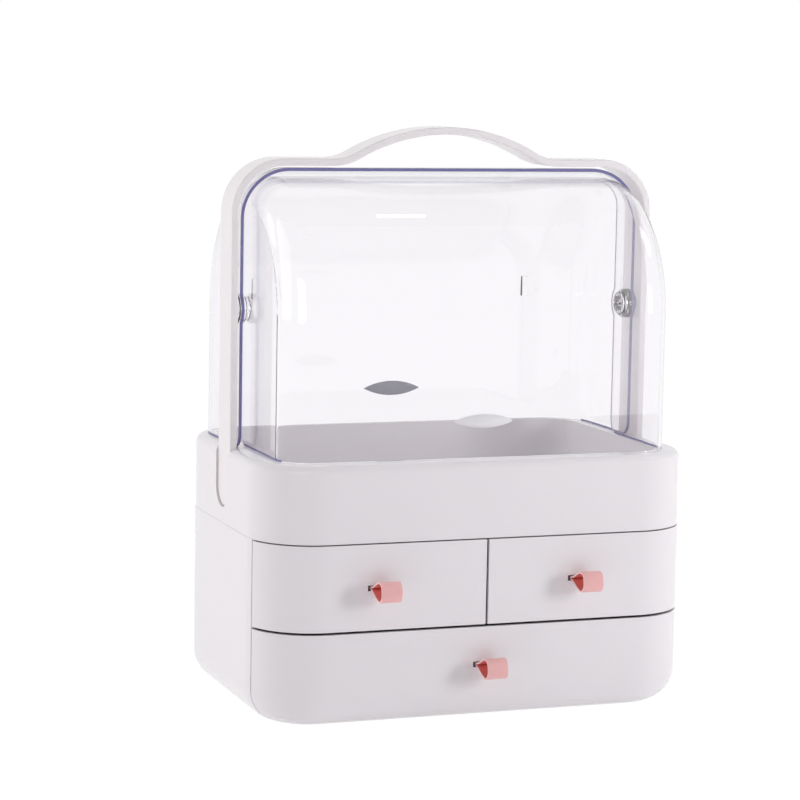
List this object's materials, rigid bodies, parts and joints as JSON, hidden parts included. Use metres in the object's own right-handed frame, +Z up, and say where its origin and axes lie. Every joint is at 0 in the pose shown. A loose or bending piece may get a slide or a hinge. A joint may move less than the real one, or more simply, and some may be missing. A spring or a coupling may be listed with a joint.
{
  "type": "cosmetic organizer",
  "caption": "Tabletop make-up organizer: a drawer cabinet with an open tray on top, a clear domed cover whose front shell swings up and back, and a carrying handle.",
  "frame": {"origin": "on the surface that the organizer stands on, under the centre of the cabinet; the cabinet's underside is 1 mm above it, on rubber feet", "axes": "+Z up, -Y towards the front with the drawers, +X to the right of someone in front"},
  "size_m": [0.29, 0.2125, 0.3685],
  "materials": {
    "white_abs": "satin white ABS moulding",
    "inner_abs": "satin off-white ABS moulding",
    "handle_abs": "satin off-white ABS moulding with rounded edges",
    "clear_shell": "clear polystyrene with a blue-violet tint in its edges",
    "clear_pin": "clear moulded plastic",
    "frosted_grip": "frosted white plastic",
    "silver_plate": "thin satin silver plate, bare",
    "pink_leather": "smooth light pink leather strap with cut edges",
    "screw_steel": "zinc-plated self-tapping screws",
    "foot_rubber": "soft grey rubber"
  },
  "bodies": {
    "base": {"cabinet_shell": "white_abs", "mid_shelf": "inner_abs", "centre_partition": "inner_abs", "rubber_feet": "foot_rubber", "tray": "white_abs", "tray_screws": "screw_steel", "rear_cover": "clear_shell", "oval_plate": "silver_plate", "left_pivot_pin": "clear_pin", "right_pivot_pin": "clear_pin", "handle": "handle_abs", "handle_screws": "screw_steel"},
    "lower_drawer": {"lower_drawer_box": "inner_abs", "lower_drawer_front": "white_abs", "lower_pull_strap": "pink_leather", "lower_strap_clip": "inner_abs"},
    "left_drawer": {"left_drawer_box": "inner_abs", "left_drawer_front": "white_abs", "left_pull_strap": "pink_leather", "left_strap_clip": "inner_abs"},
    "right_drawer": {"right_drawer_box": "inner_abs", "right_drawer_front": "white_abs", "right_pull_strap": "pink_leather", "right_strap_clip": "inner_abs"},
    "cover": {"front_cover": "clear_shell", "cover_grip": "frosted_grip"}
  },
  "joints": [
    {"name": "lower_drawer_slide", "type": "slide", "parent": "base", "child": "lower_drawer", "axis": [0, -1, 0], "range_m": [0, 0.14]},
    {"name": "left_drawer_slide", "type": "slide", "parent": "base", "child": "left_drawer", "axis": [0, -1, 0], "range_m": [0, 0.14]},
    {"name": "right_drawer_slide", "type": "slide", "parent": "base", "child": "right_drawer", "axis": [0, -1, 0], "range_m": [0, 0.14]},
    {"name": "cover_hinge", "type": "hinge", "parent": "base", "child": "cover", "pos_m": [0, 0, 0.2529], "axis": [-1, 0, 0], "range_deg": [0, 95]}
  ]
}
